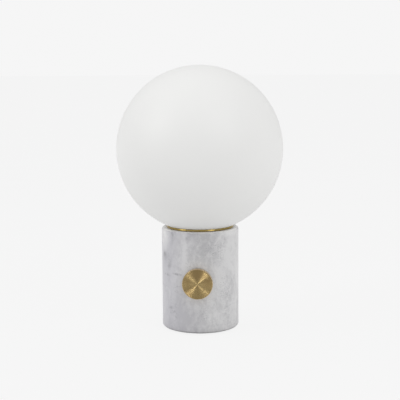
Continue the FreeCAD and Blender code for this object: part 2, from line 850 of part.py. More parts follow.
def terminal_block():
    """Two-pole block with a wire entry at both ends of each pole and a screw over each entry."""
    block = Part.makeBox(block_width, block_length, block_height,
                         Vector(block_offset, -block_length / 2, plate_top))
    uprights = [e for e in block.Edges if abs(e.Vertexes[0].Z - e.Vertexes[1].Z) > block_height / 2]
    block = block.makeFillet(block_edge_radius, uprights)
    top = plate_top + block_height
    for x in pole_places():
        for side in (-1, 1):
            mouth = Vector(x, side * block_length / 2, plate_top + block_entry_height)
            block = block.cut(Part.makeCylinder(block_entry_diameter / 2, block_entry_depth, mouth,
                                                Vector(0, -side, 0)))
    for x, y in screw_places():
        block = block.cut(Part.makeCylinder(block_screw_diameter / 2 + thread_clearance, block_screw_depth,
                                            Vector(x, y, top - block_screw_depth)))
    middle = Vector(block_offset + block_width / 2, 0, 0)
    block = block.cut(Part.makeCylinder(fixing_diameter / 2 + fixing_clearance, block_height,
                                        middle + UP * plate_top))
    head_pocket = Part.makeCylinder(fixing_head_diameter / 2 + fixing_clearance, fixing_head_height,
                                    middle + UP * (top - fixing_head_height))
    return block.cut(head_pocket)


def terminal_screws():
    top = plate_top + block_height
    screws = []
    for x, y in screw_places():
        screw = Part.makeCylinder(block_screw_diameter / 2, block_screw_depth,
                                  Vector(x, y, top - block_screw_depth))
        corner = Vector(x - block_screw_diameter / 2, y - block_slot_width / 2, top - block_slot_depth)
        slot = Part.makeBox(block_screw_diameter, block_slot_width, block_slot_depth, corner)
        screws.append(screw.cut(slot))
    return Part.makeCompound(screws)


def terminal_fixing_screw():
    """Screw down through the block into the base plate."""
    top = plate_top + block_height
    screw = disc(fixing_diameter / 2, plate_bottom, top - fixing_head_height)
    screw = screw.fuse(disc(fixing_head_diameter / 2, top - fixing_head_height, top)).removeSplitter()
    slot = Part.makeBox(fixing_head_diameter, block_slot_width, block_slot_depth,
                        Vector(-fixing_head_diameter / 2, -block_slot_width / 2, top - block_slot_depth))
    screw = screw.cut(slot)
    screw.translate(Vector(block_offset + block_width / 2, 0, 0))
    return screw


def lead(name, points):
    """Insulated wire along a route, with its bends printed against its length."""
    path, radii = rounded_route(points)
    start = (points[1] - points[0]).normalize()
    section = Part.Wire(Part.makeCircle(lead_diameter / 2, points[0], start))
    tube = swept(section, path)
    share = tube.Volume / (math.pi * (lead_diameter / 2) ** 2 * path.Length)
    print(name, "length", round(path.Length, 1), "least bend", round(min(radii), 1),
          "volume share", round(share, 4))
    return tube


def lead_down_tube(side):
    """Route from the lampholder's insert, down the tube and out of its window."""
    outside = tube_radius + lead_window_reach
    return [
        Vector(0, side * lead_spread, insert_bottom),
        Vector(0, side * lead_spread, insert_bottom - lead_tail),
        Vector(0, side * lead_tube_offset, tube_top),
        Vector(0, side * lead_tube_offset, well_bottom),
        Vector(outside, side * (lead_tube_offset + lead_window_part), window_low),
    ]


def hanging(start, end):
    """Points of a slack lead that swings out first and comes round to its end last."""
    points = []
    for k in range(1, lead_hang_points + 1):
        share = k / (lead_hang_points + 1)
        out = math.sin(share * math.pi / 2)
        points.append(Vector(start.x + (end.x - start.x) * out, start.y + (end.y - start.y) * share**3,
                             start.z + (end.z - start.z) * share))
    return points


def neutral_lead():
    entry = Vector(pole_places()[0], -block_length / 2, plate_top + block_entry_height)
    drop = entry - Vector(0, lead_block_run, 0)
    down = lead_down_tube(1)
    above = drop + UP * lead_block_run
    return lead("neutral_lead", down + hanging(down[-1], above) + [above, drop, entry])


def switched_lead():
    lug = Vector(lug_spacing / 2, -lug_depth(), lug_height(1))
    down = lead_down_tube(-1)
    above = lug + UP * lead_lug_run
    swing = Vector(lug.x + lead_spread, (down[-1].y + lug.y) / 2, above.z)
    return lead("switched_lead", down + [swing, above, lug])


def live_lead():
    entry = Vector(pole_places()[1], -block_length / 2, plate_top + block_entry_height)
    drop = entry - Vector(0, lead_block_run, 0)
    lug = Vector(lug_spacing / 2, -lug_depth(), lug_height(-1))
    below = lug - UP * lead_lug_run
    turn = Vector(drop.x + (below.x - drop.x) * lead_turn_out, (drop.y + below.y) / 2,
                  drop.z + (below.z - drop.z) * lead_turn_up)
    return lead("live_lead", [entry, drop, turn, below, lug])


PARTS = {
    "marble_column": stone_column,
    "base_plate": base_plate,
    "foot_pad": foot_pad,
    "globe": globe,
    "globe_gallery": globe_gallery,
    "seat_gasket": seat_gasket,
    "globe_clips": globe_clips,
    "clip_rivets": clip_rivets,
    "support_tube": support_tube,
    "tube_bottom_washer": lambda: tube_washer(bottom_washer_bottom),
    "tube_bottom_nut": lambda: hex_nut(nut_across_flats, tube_radius + thread_clearance,
                                       bottom_nut_bottom, bottom_washer_bottom),
    "tube_top_washer": lambda: tube_washer(well_floor),
    "tube_top_nut": lambda: hex_nut(nut_across_flats, tube_radius + thread_clearance,
                                    top_nut_bottom, holder_bottom),
    "lampholder_cap": lampholder_cap,
    "lampholder_insert": lampholder_insert,
    "lampholder_body": lampholder_body,
    "lampholder_shell": lampholder_shell,
    "lampholder_contact": lampholder_contact,
    "bulb_tip": bulb_tip,
    "bulb_insulator": bulb_insulator,
    "bulb_cap": bulb_cap,
    "bulb_housing": bulb_housing,
    "bulb_led_plate": bulb_led_plate,
    "bulb_diffuser": bulb_diffuser,
    "dimmer_case": dimmer_case,
    "dimmer_bushing": dimmer_bushing,
    "dimmer_washer": dimmer_washer,
    "dimmer_nut": dimmer_nut,
    "dimmer_lugs": dimmer_lugs,
    "dimmer_shaft": dimmer_shaft,
    "knob": knob,
    "knob_grub_screw": knob_grub_screw,
    "cord_bush": cord_bush,
    "terminal_block": terminal_block,
    "terminal_screws": terminal_screws,
    "terminal_fixing_screw": terminal_fixing_screw,
    "neutral_lead": neutral_lead,
    "switched_lead": switched_lead,
    "live_lead": live_lead,
}

os.makedirs("parts", exist_ok=True)
for name, make in PARTS.items():
    shape = make()
    bad = [s for s in shape.Solids if not s.isValid() or s.Volume <= 0]
    if bad or not shape.Solids:
        raise ValueError(f"{name} is not made of valid solids")
    shape.exportStep(f"parts/{name}.step")
print("globe centre", round(globe_center, 2), "height", round(globe_center + globe_radius, 2))
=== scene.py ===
"""Looks of a globe table lamp: opal glass in a brass gallery on a grey marble column, with a turned knob."""

import math
from typing import NamedTuple

import bpy
from mathutils import Matrix, Vector


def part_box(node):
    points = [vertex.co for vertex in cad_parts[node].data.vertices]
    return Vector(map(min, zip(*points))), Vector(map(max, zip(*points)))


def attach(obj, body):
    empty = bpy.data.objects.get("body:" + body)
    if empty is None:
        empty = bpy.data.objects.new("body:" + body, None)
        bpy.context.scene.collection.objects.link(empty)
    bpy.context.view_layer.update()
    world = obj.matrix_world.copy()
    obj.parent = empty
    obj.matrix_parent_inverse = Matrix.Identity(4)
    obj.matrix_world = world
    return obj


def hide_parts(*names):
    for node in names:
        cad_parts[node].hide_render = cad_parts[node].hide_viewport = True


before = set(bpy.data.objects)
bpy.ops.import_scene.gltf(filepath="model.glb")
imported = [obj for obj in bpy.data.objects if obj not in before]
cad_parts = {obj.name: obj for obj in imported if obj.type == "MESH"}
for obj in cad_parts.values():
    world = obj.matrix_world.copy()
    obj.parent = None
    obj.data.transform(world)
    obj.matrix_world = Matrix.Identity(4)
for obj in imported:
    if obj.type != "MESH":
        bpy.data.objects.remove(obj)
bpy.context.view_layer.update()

bl_info = {
    "name": "Globe table lamp",
    "version": (1, 0, 0),
    "blender": (4, 5, 0),
    "location": "View3D > Sidebar > Lamp",
    "description": "Models and finishes the visible pieces of a globe table lamp on a marble column",
    "category": "Object",
}

MM = 0.001
# Radius that stands for a point on the lathe's axis, and the distance under which points become one
POLE = 1e-6
MERGE_DISTANCE = 5 * POLE
# Sides of small turned pieces, of drilled holes and of a thread's section, and steps in a thread's turn
SMALL_SIDES = 96
HOLE_SIDES = 64
THREAD_SIDES = 10
THREAD_STEPS = 48
# Sides that the stone has beyond those of the other turned pieces
STONE_EXTRA_SIDES = 32
# Steps along the ball's profile and along a small bend
BALL_STEPS = 72
BEND_STEPS = 6
# Spreads the depths of neighbouring turned lines evenly
GOLDEN_RATIO = (1 + math.sqrt(5)) / 2
# Depth of the knob's grooves, and how much its grooves and ridges vary, in shares of the turning depth
GROOVE_DEPTH = 0.75
GROOVE_SPREAD = 0.14
RIDGE_SPREAD = 0.07
# How far a rolled thread sinks into its wall, in shares of its radius
CAP_THREAD_SINK = 0.7
SKIRT_THREAD_SINK = 0.4
# Pitch of the holder's skirt thread, in shares of the cap's pitch
SKIRT_PITCH = 0.9
# Side of the photograph in pixels, width of the sensor in millimetres and nearest distance seen in metres
PHOTO_SIDE = 400
SENSOR_WIDTH = 36.0
CLIP_START = 0.01
# Point on the lamp's axis that the lights face and the floor's side, in metres, and the floor's cuts
LIGHT_TARGET = Vector((0, 0, 0.13))
FLOOR_SIDE = 40
FLOOR_CUTS = 3
# Ways along Y
FRONT = -1
REAR = 1


class Spot(NamedTuple):
    """A soft spot on a finish: its middle and its reach on the lamp, in millimetres, and its strength."""

    center: tuple
    reach: tuple
    strength: float = 1.0


# Painted shade above the knob and below it on the left, where the front of the column falls darker
STONE_SHADOWS = (
    Spot(center=(-6, -46, 92), reach=(15, 12, 50)),
    Spot(center=(-13, -45, 26), reach=(10, 11, 20), strength=0.6),
)
# Pale streaks down the left and a pale middle; the spot on the upper left edge is painted light
STONE_LIGHTS = (
    Spot(center=(-16, -44, 98), reach=(5, 8, 30)),
    Spot(center=(-42, -20, 119), reach=(14, 18, 30)),
    Spot(center=(-28, -37, 12), reach=(10, 10, 22), strength=0.8),
    Spot(center=(-29, -37, 42), reach=(12, 12, 22), strength=0.5),
    Spot(center=(0, -42, 70), reach=(40, 30, 34)),
)
# Painted light on the right side of the stone, where the light falls
STONE_LIT_SIDE = Spot(center=(40, -24, 90), reach=(38, 38, 95))
# Patches where dark grains gather
STONE_GRAINS = (
    Spot(center=(18, -43, 101), reach=(15, 12, 24)),
    Spot(center=(31, -35, 52), reach=(16, 14, 30)),
    Spot(center=(-3, -46, 88), reach=(14, 9, 12)),
    Spot(center=(6, -46, 23), reach=(13, 9, 16)),
)
# Short dark smears down the left
STONE_SMEARS = (
    Spot(center=(-41, -22, 92), reach=(6, 6, 8)),
    Spot(center=(-35, -31, 81), reach=(6, 6, 6), strength=0.35),
    Spot(center=(-38, -27, 69), reach=(9, 9, 2), strength=0.7),
    Spot(center=(-25, -39, 72), reach=(9, 8, 2), strength=0.7),
    Spot(center=(-31, -35, 117), reach=(4, 4, 9), strength=0.5),
    Spot(center=(-12, -45, 116), reach=(4, 4, 4), strength=0.5),
    Spot(center=(-33, -33, 30), reach=(6, 6, 3), strength=0.4),
)
# Painted light on the shoulders of the stone, where the globe shades them
LEFT_LIT_SHOULDER = Spot(center=(-42, -20, 119), reach=(13, 20, 26))
RIGHT_LIT_SHOULDER = Spot(center=(38, -24, 123), reach=(18, 22, 8))
# Floor round the lamp, where the contact shadow lies
FLOOR_CONTACT = Spot(center=(0, 0, 0), reach=(100, 100, 100))
# Reach of the painted shade at the knob's top and of the painted reflection at its bottom
KNOB_REACH = (9, 16, 15)
# Reach of the painted contact shade and tarnish in the gallery's corner, and the height and reach of the
# painted reflection at its lip
CORNER_REACH = (400, 400, 1.5)
LIP_HEIGHT = 3
LIP_REACH = (400, 400, 2.6)

# Turns a place across the column, in metres, into a share of its width
ACROSS = 10.0
# Middle of a noise's range, and of the column's depth as a share
MIDDLE = 0.5
# Weights of the patterns in the marble's light and dark, painted shade and painted light among them
CLOUD_SHARE = 0.48
MOTTLE_SHARE = 0.40
GRAIN_SHARE = 0.12
SHADOW_SHARE = 0.07
LIGHT_SHARE = 0.13
LIT_SIDE_SHARE = 0.75
FAR_SHARE = 0.045
# Weights of the lavender cast, its broken edge, the grains, the marks and the rubbing with painted light
# over the marble
CAST_SHARE = 0.7
CAST_BREAKUP = 0.5
SPECKLE_SHARE = 0.6
VEIN_SHARE = 0.4
SMEAR_SHARE = 1.2
BAND_SHARE = 0.12
BAND_MOTTLE = 0.42
RUBBED_AND_LIT_SHARE = 0.7
# Fineness of the lathe's lines, and the weights of the tarnish with its painted shade and of the lines in
# the brass
LATHE_FINENESS = 5200
TARNISH_AND_SHADE_SHARE = 0.55
LINE_SHARE = 0.2


def low(node):
    """Lowest corner of a solid's box."""
    return Vector(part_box(node)[0])


def high(node):
    """Highest corner of a solid's box."""
    return Vector(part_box(node)[1])


def size(label, about, default):
    """A length that a user would change."""
    return bpy.props.FloatProperty(name=label, description=about, default=default, unit="LENGTH",
                                   precision=5)


def angle(label, about, degrees):
    """An angle that a user would change."""
    return bpy.props.FloatProperty(name=label, description=about, default=math.radians(degrees),
                                   unit="ROTATION")


def tint(label, about, default):
    """A colour that a user would change."""
    return bpy.props.FloatVectorProperty(name=label, description=about, default=default, subtype="COLOR",
                                         size=3, min=0, max=1)


def level(label, about, default):
    """A brightness or power that a user would change."""
    return bpy.props.FloatProperty(name=label, description=about, default=default, min=0)


class LampSizes(bpy.types.PropertyGroup):
    """Sizes of the modelled pieces"""

    globe_radius: size("Globe radius", "Outside of the glass ball", 100 * MM)
    globe_wall: size("Glass wall", "Thickness of the glass", 2.6 * MM)
    neck_radius: size("Neck radius", "Outside of the glass neck", 31 * MM)
    neck_root: size("Neck root", "Rounding between the ball and its neck", 3 * MM)
    column_edge: size("Column edge", "Rounding of the stone's top and bottom edges", 2.8 * MM)
    cavity_radius: size("Cavity radius", "Core drilled through the stone", 32 * MM)
    well_seat_radius: size("Well seat radius", "Counterbore for the gallery's well", 37 * MM)
    well_seat_depth: size("Well seat depth", "Depth of that counterbore", 13.8 * MM)
    plate_seat_radius: size("Plate seat radius", "Recess for the base plate", 40.5 * MM)
    plate_seat_depth: size("Plate seat depth", "Depth of that recess", 2 * MM)
    dimmer_hole_radius: size("Dimmer hole radius", "Hole for the dimmer's bush", 5 * MM)
    dimmer_seat_radius: size("Dimmer seat radius", "Spot face round the dimmer's nut", 10 * MM)
    dimmer_seat_depth: size("Dimmer seat depth", "Depth of that spot face", 4 * MM)
    cord_hole_radius: size("Cord hole radius", "Hole for the cord bush", 5.2 * MM)
    cord_seat_radius: size("Cord seat radius", "Spot face round the cord bush", 7.5 * MM)
    cord_seat_depth: size("Cord seat depth", "Depth of that spot face", 1.3 * MM)
    rim_wall: size("Rim wall", "Thickness of the gallery's rim", 1.6 * MM)
    rim_edge: size("Rim edge", "Rounding of the rim's upper edge", 0.3 * MM)
    rim_foot: size("Rim foot", "Rounding of the rim's lower edge", 0.45 * MM)
    rim_lean: angle("Rim lean", "Inward lean of the rim's outer wall", 16.5)
    rim_gap: size("Rim gap", "Gap between the rim and the glass", 0.12 * MM)
    flange: size("Gallery flange", "Thickness of the gallery on the stone", 0.7 * MM)
    well_sheet: size("Well sheet", "Thickness of the gallery's well", 1.5 * MM)
    well_radius: size("Well radius", "Inside of the gallery's well", 35 * MM)
    well_bend: size("Well bend", "Outer bend at the well's floor", 2.5 * MM)
    tube_hole: size("Tube hole", "Hole for the support tube", 5.1 * MM)
    knob_chamfer: size("Knob chamfer", "Chamfer round the knob's face", 0.8 * MM)
    knob_back_chamfer: size("Knob back chamfer", "Chamfer round the knob's back", 0.4 * MM)
    knob_bore: size("Knob bore", "Blind bore for the dimmer's shaft", 3.05 * MM)
    knob_cover: size("Knob cover", "Brass left in front of the shaft", 2 * MM)
    turning_pitch: size("Turning pitch", "Distance between the face's turned lines", 0.12 * MM)
    turning_depth: size("Turning depth", "Depth of the face's turned lines", 0.096 * MM)
    cap_pitch: size("Cap pitch", "Pitch of the screw cap's thread", 2.82 * MM)
    thread_round: size("Thread round", "Radius of the rolled thread's crest", 0.55 * MM)
    bush_bore: size("Bush bore", "Cord's way through the bush", 3.5 * MM)
    bush_barrel: size("Bush barrel", "Outside of the bush in the stone", 5 * MM)
    bush_flange: size("Bush flange", "Thickness of the bush outside the stone", 2.5 * MM)
    bush_round: size("Bush rounding", "Rounding of the bush's mouth and edge", 1 * MM)
    foot_round: size("Foot rounding", "Rounding of the foot pad's edge", 0.5 * MM)
    foot_rib: size("Foot rib pitch", "Distance between the foot pad's ribs", 3 * MM)
    smoothness: bpy.props.IntProperty(name="Segments", description="Sides of a turned piece",
                                      default=160, min=3)


class LampColours(bpy.types.PropertyGroup):
    """Colours of the finishes"""

    stone_light: tint("Stone light", "Palest cloud of the marble", (0.674, 0.67, 0.674))
    stone_dark: tint("Stone dark", "Darkest cloud of the marble", (0.465, 0.461, 0.474))
    stone_cool: tint("Stone cool", "Lavender cast over part of the marble", (0.53, 0.52, 0.57))
    # Pale top edge: rubbing, and painted light on the top edge and shoulders
    stone_rubbed_and_lit: tint("Stone rubbed", "Marble rubbed pale at the top edge", (0.86, 0.855, 0.85))
    stone_vein: tint("Stone vein", "Veins and grains", (0.24, 0.235, 0.25))
    opal: tint("Opal", "Satin opal glass", (0.86, 0.86, 0.85))
    brass: tint("Brass", "Turned brass of the knob", (0.392, 0.296, 0.141))
    # Knob tarnish colour: random tarnish, and painted shade at the knob's top
    brass_tarnish_and_shade: tint("Brass tarnish", "Tarnished brass of the knob", (0.29, 0.2, 0.092))
    # Worn colour: wear, and a painted reflection on the knob's rim wall
    brass_worn_and_lit: tint("Brass worn", "Brass rubbed bright round the knob", (0.80, 0.62, 0.38))
    ring_brass: tint("Ring brass", "Polished brass of the gallery", (0.50, 0.372, 0.13))
    # Ring tarnish colour: random tarnish, and painted contact shade where the gallery meets the stone
    ring_tarnish_and_shade: tint("Ring tarnish", "Tarnish where the gallery meets the stone", (0.11, 0.075, 0.03))
    floor: tint("Floor", "Plain pale floor", (0.92, 0.92, 0.92))


class LampStudio(bpy.types.PropertyGroup):
    """Camera and light of the stage"""

    camera_distance: size("Camera distance", "From the lamp's axis, level", 1.153)
    camera_height: size("Camera height", "Above the table", 0.323)
    camera_azimuth: angle("Camera azimuth", "Round to the lamp's right", 3.9)
    camera_pitch: angle("Camera pitch", "Downward tilt of the camera", 8.27)
    camera_roll: angle("Camera roll", "Turn about the line of sight", -0.33)
    focal_pixels: bpy.props.FloatProperty(name="Focal length", description="In pixels of the photograph",
                                          default=962.0, min=1)
    backdrop: level("Backdrop", "Brightness behind the lamp", 0.92)
    fill: level("Fill", "Soft light from all round", 0.746)
    fill_lean: level("Fill lean", "How much weaker that light is in front than behind", 0.2)
    sheen: level("Sheen", "Brightness of the surroundings in polished metal", 0.58)
    floor_paint: level("Floor paint", "Share of light that the floor scatters", 0.07)
    floor_spill: level("Floor spill", "Share of the floor's glow that lights the lamp", 0.85)
    floor_glow: level("Floor glow", "Light that the floor gives of itself", 0.86)
    right_power: level("Right softbox", "Power of the narrow light on the right", 3.3)
    left_power: level("Left softbox", "Power of the narrow light on the left", 3.3)
    left_side_power: level("Left side", "Power of the broad light above the left side", 3.5)
    right_side_power: level("Right side", "Power of the broad light above the right side", 2.0)


class Value:
    """One output of a node, so that shader maths reads as an expression."""

    def __init__(self, nodes, socket):
        self.nodes = nodes
        self.socket = socket

    def math(self, operation, a, b):
        return self.nodes.node("Math", {"operation": operation}, {0: a, 1: b})

    def __add__(self, other):
        return self.math("ADD", self, other)

    def __radd__(self, other):
        return self.math("ADD", other, self)

    def __sub__(self, other):
        return self.math("SUBTRACT", self, other)

    def __rsub__(self, other):
        return self.math("SUBTRACT", other, self)

    def __mul__(self, other):
        return self.math("MULTIPLY", self, other)

    def __rmul__(self, other):
        return self.math("MULTIPLY", other, self)

    def __truediv__(self, other):
        return self.math("DIVIDE", self, other)

    def __rtruediv__(self, other):
        return self.math("DIVIDE", other, self)

    def __pow__(self, other):
        return self.math("POWER", self, other)

    def __rpow__(self, other):
        return self.math("POWER", other, self)

    def __abs__(self):
        return self.nodes.node("Math", {"operation": "ABSOLUTE"}, {0: self})


class Nodes:
    """A node tree that is built up from Python values and expressions."""

    def __init__(self, tree):
        self.tree = tree

    def feed(self, socket, value):
        """Links a value to a socket, or sets a number, a vector or a colour on it."""
        if isinstance(value, Value):
            self.tree.links.new(value.socket, socket)
        elif socket.type == "RGBA":
            socket.default_value = (*value, 1)
        else:
            socket.default_value = value

    def node(self, kind, settings=None, sockets=None, output=0, stops=None):
        """Adds a node: its settings and any ramp's stops first, then its sockets' values or links."""
        made = self.tree.nodes.new("ShaderNode" + kind)
        for key, value in (settings or {}).items():
            setattr(made, key, value)
        if stops:
            ramp = made.color_ramp.elements
            while len(ramp) < len(stops):
                ramp.new(0.5)
            for element, (place, grey) in zip(ramp, stops):
                element.position = place
                element.color = (grey, grey, grey, 1)
        for key, value in (sockets or {}).items():
            self.feed(made.inputs[key], value)
        return None if output is None else Value(self, made.outputs[output])

    def coordinate(self, place, axis):
        return self.node("SeparateXYZ", {}, {"Vector": place}, output=axis)

    def ray(self, kind):
        """1 for rays of one kind, Camera or Glossy, and 0 for the others."""
        return self.node("LightPath", output=f"Is {kind} Ray")


class Finish(Nodes):
    """One material and the nodes that feed its shader."""

    def __init__(self, name):
        self.material = bpy.data.materials.new(name)
        self.material.use_nodes = True
        super().__init__(self.material.node_tree)
        self.shader = self.tree.nodes["Principled BSDF"]

    def place(self):
        return self.node("TexCoord", output="Object")

    def stretched(self, place, scale, shift=(0, 0, 0), turn=(0, 0, 0)):
        return self.node("Mapping", {}, {"Vector": place, "Location": shift, "Rotation": turn,
                                         "Scale": scale})

    def noise(self, place, scale, detail=3, rough=0.5, swirl=0.0):
        return self.node("TexNoise", {}, {"Vector": place, "Scale": scale, "Detail": detail,
                                          "Roughness": rough, "Distortion": swirl})

    def ramp(self, value, *stops):
        """Grey levels at places along a value."""
        return self.node("ValToRGB", {}, {"Fac": value}, stops=stops)

    def rise(self, value, start, end, top=1.0):
        """Climbs from 0 to its top while a value goes from start to end."""
        return self.ramp(value, (start, 0.0), (end, top))

    def spot(self, place, spot):
        """Fades from a spot's strength in its middle to 0 at its reach."""
        scale = [1 / (MM * length) for length in spot.reach]
        shift = [-middle / length for middle, length in zip(spot.center, spot.reach)]
        fade = self.node("TexGradient", {"gradient_type": "SPHERICAL"},
                         {0: self.stretched(place, scale, shift)}, output="Fac")
        return fade * spot.strength

    def spots(self, place, group):
        return sum(self.spot(place, spot) for spot in group)

    def blend(self, share, a, b):
        """Mixes two colours, through the sockets of the node's colour form."""
        return self.node("Mix", {"data_type": "RGBA"}, {0: share, 6: a, 7: b}, output=2)

    def bump(self, height, depth):
        return self.node("Bump", {}, {"Height": height, "Distance": depth})

    def set(self, **sockets):
        """Sets or links the shader's sockets, named with underscores for spaces."""
        for key, value in sockets.items():
            self.feed(self.shader.inputs[key.replace("_", " ")], value)
        return self.material


def shaded(colour, share):
    """A darker shade of a colour."""
    return [part * share for part in colour]


def marble_tone(f, place, far, mottle, grain):
    """Light and dark of the marble: clouds, mottle and grain, with painted shade, pale places and painted
    light.
    """
    drift = f.stretched(place, scale=(1, 1, 0.55), shift=(0.13, 0.41, 0.07))
    cloud = f.noise(drift, scale=32, detail=5, swirl=0.3)
    tone = cloud * CLOUD_SHARE + mottle * MOTTLE_SHARE + grain * GRAIN_SHARE
    # pale holds the pale streaks together with painted light on the upper left edge and on the right side
    pale = f.spots(place, STONE_LIGHTS) + f.rise(f.spot(place, STONE_LIT_SIDE), 0.0, 0.4) * LIT_SIDE_SHARE
    return tone - f.spots(place, STONE_SHADOWS) * SHADOW_SHARE + pale * LIGHT_SHARE + far * FAR_SHARE


def marble_marks(f, place, far, mottle):
    """Broken veins, smears of crystals on the front and soft bands on the far side."""
    drift = f.stretched(place, scale=(1, 1, 1.6), shift=(0.21, 0.5, 0.33))
    drift = f.noise(drift, scale=26, detail=5, rough=0.6, swirl=1.2)
    vein = f.ramp(abs(drift - MIDDLE), (0.0, 1.0), (0.02, 0.0))
    broken = f.rise(f.noise(place, scale=48, detail=2), 0.54, 0.70)
    crystals = f.stretched(place, scale=(1, 1, 0.6), shift=(0.5, 0.2, 0.1))
    crystals = f.noise(crystals, scale=380, rough=0.6)
    smear = f.spots(place, STONE_SMEARS) * f.ramp(crystals, (0.36, 0.1), (0.60, 1.0))
    sweep = f.stretched(place, scale=(1, 1, 0.7), shift=(0.9, 0.6, 0.2), turn=(0.5, 0.4, 0))
    sweep = f.noise(sweep, scale=15, detail=6, rough=0.62, swirl=0.8)
    band = f.ramp(abs(sweep - MIDDLE), (0.0, 1.0), (0.012, 0.45), (0.07, 0.0))
    lines = vein * broken * VEIN_SHARE + smear * SMEAR_SHARE
    return lines + band * far * (BAND_SHARE + mottle * BAND_MOTTLE)


def grey_marble(colours, top, edge):
    """Honed marble: soft clouds, a lavender side, granular patches, broken veins, and a top edge rubbed pale
    and painted lighter, with painted light on its shoulders.
    """
    f = Finish("grey_marble")
    place = f.place()
    side, depth, height = (f.coordinate(place, axis) for axis in "XYZ")
    far = f.rise(depth * ACROSS + MIDDLE, 0.2, 0.7)
    mottle = f.stretched(place, scale=(1, 1, 0.8), shift=(0.31, 0.02, 0.4))
    mottle = f.noise(mottle, scale=180, detail=4, rough=0.65, swirl=0.6)
    grain = f.noise(place, scale=800, detail=2, rough=0.6)
    tone = marble_tone(f, place, far, mottle, grain)
    colour = f.blend(f.rise(tone, 0.405, 0.615), colours.stone_dark, colours.stone_light)
    cast = f.noise(place, scale=14, detail=2) * CAST_BREAKUP - side * ACROSS
    cool = f.blend(CAST_SHARE, colour, colours.stone_cool)
    colour = f.blend(f.rise(cast, 0.20, 0.62, top=0.8), colour, cool)
    patch = f.stretched(place, scale=(1, 1, 0.5), shift=(0.7, 0.3, 0.9))
    patch = f.rise(f.noise(patch, scale=55, detail=2), 0.54, 0.70, top=0.8)
    patch += f.spots(place, STONE_GRAINS)
    speckle = f.rise(grain, 0.52, 0.68) * patch
    colour = f.blend(speckle * SPECKLE_SHARE, colour, colours.stone_vein)
    colour = f.blend(marble_marks(f, place, far, mottle), colour, colours.stone_vein)
    # Top edge and shoulders lightened: partly rubbing, partly painted light where the globe shades the stone
    rubbed_and_lit = f.rise((height - (top - edge)) / edge, 0.55, 0.95) * (0.6 + mottle)
    rubbed_and_lit += f.spot(place, LEFT_LIT_SHOULDER) * (0.4 + mottle * 1.2)
    rubbed_and_lit += f.spot(place, RIGHT_LIT_SHOULDER) * (0.4 + mottle)
    colour = f.blend(rubbed_and_lit * RUBBED_AND_LIT_SHARE, colour, colours.stone_rubbed_and_lit)
    pits = f.noise(place, scale=1400, detail=2)
    return f.set(Base_Color=colour, Roughness=0.30 + pits * 0.16 + speckle * 0.1 - rubbed_and_lit * 0.06,
                 Normal=f.bump(pits + mottle * 0.6, depth=0.04 * MM), Specular_IOR_Level=0.5)


def satin_opal(colours):
    """Etched opal glass: a white body under a fine satin skin."""
    f = Finish("opal_glass")
    place = f.place()
    body = f.noise(place, scale=9, detail=2)
    etch = f.noise(place, scale=2600, detail=2)
    colour = f.blend(body * 0.5, colours.opal, shaded(colours.opal, 0.96))
    return f.set(Base_Color=colour, Roughness=0.44 + etch * 0.08, Normal=f.bump(etch, depth=0.012 * MM),
                 Coat_Weight=0.06, Coat_Roughness=0.35)


def around(f, place, center, axis):
    """Distance from a turning axis, for lines that the lathe leaves."""
    squares = [(f.coordinate(place, name) - offset) ** 2
               for name, offset in zip("XYZ", center) if name != axis]
    return (squares[0] + squares[1]) ** 0.5


def turned_brass(name, brass, darker_brass, center, axis, depth, roughness, shade_spot, bright):
    """Brass with fine lines round its turning axis and random tarnish, with painted shade at one spot and
    painted light at another.
    """
    f = Finish(name)
    place = f.place()
    across = f.node("CombineXYZ", {}, {"X": around(f, place, center, axis), "Y": f.coordinate(place, axis)})
    lines = f.noise(across, scale=LATHE_FINENESS, detail=1)
    # Random tarnish, darkened by painted shade at one spot and lightened by painted light at another
    tarnish_and_shade = f.noise(place, scale=70) + f.spot(place, shade_spot) - f.spot(place, bright)
    tarnish_and_shade = f.rise(tarnish_and_shade, 0.38, 0.72)
    smear = f.noise(place, scale=240)
    colour = f.blend(tarnish_and_shade * TARNISH_AND_SHADE_SHARE + lines * LINE_SHARE, brass, darker_brass)
    f.set(Base_Color=colour, Metallic=1.0, Roughness=roughness + smear * 0.12 + tarnish_and_shade * 0.05,
          Normal=f.bump(lines, depth))
    return f, colour


def worn_and_lit_brass(f, colour, worn_and_lit, center, axis, edge):
    """Paints turned brass bright at its outermost edge: wear, and a painted reflection of the pale stone."""
    reach = around(f, f.place(), center, axis) / edge
    f.set(Base_Color=f.blend(f.rise(reach, 0.982, 0.996, top=0.9), colour, worn_and_lit))


def plated_metal(name, colour, roughness, grain=900.0):
    """Plated metal with a fine mottled grain."""
    f = Finish(name)
    place = f.place()
    mottle = f.noise(place, scale=grain)
    cloud = f.noise(place, scale=grain / 8, detail=2)
    shade = f.blend(cloud * 0.5, colour, shaded(colour, 0.72))
    return f.set(Base_Color=shade, Metallic=1.0, Roughness=roughness + mottle * 0.16,
                 Normal=f.bump(mottle, depth=0.01 * MM))


def moulded(name, colour, roughness, grain=1800.0, depth=0.02 * MM):
    """Moulded plastic or rubber with an even spark-eroded texture."""
    f = Finish(name)
    place = f.place()
    texture = f.noise(place, scale=grain, detail=2)
    cloud = f.noise(place, scale=60, detail=2)
    shade = f.blend(cloud * 0.4, colour, shaded(colour, 0.8))
    return f.set(Base_Color=shade, Roughness=roughness + texture * 0.12, Normal=f.bump(texture, depth))


def deselect():
    """Leaves edit mode and nothing selected."""
    if bpy.context.object and bpy.context.object.mode != "OBJECT":
        bpy.ops.object.mode_set(mode="OBJECT")
    bpy.ops.object.select_all(action="DESELECT")


def pick(piece):
    """Leaves one piece selected and active."""
    deselect()
    piece.select_set(True)
    bpy.context.view_layer.objects.active = piece


def named(piece, name):
    """Names a new piece and its mesh."""
    piece.name = name
    piece.data.name = name
    return piece


def arc(center, radius, start, end, steps=BEND_STEPS):
    """Points of an arc in a profile, with angles in degrees from the outward direction."""
    angles = [math.radians(start + (end - start) * k / steps) for k in range(steps + 1)]
    return [(center[0] + radius * math.cos(a), center[1] + radius * math.sin(a)) for a in angles]


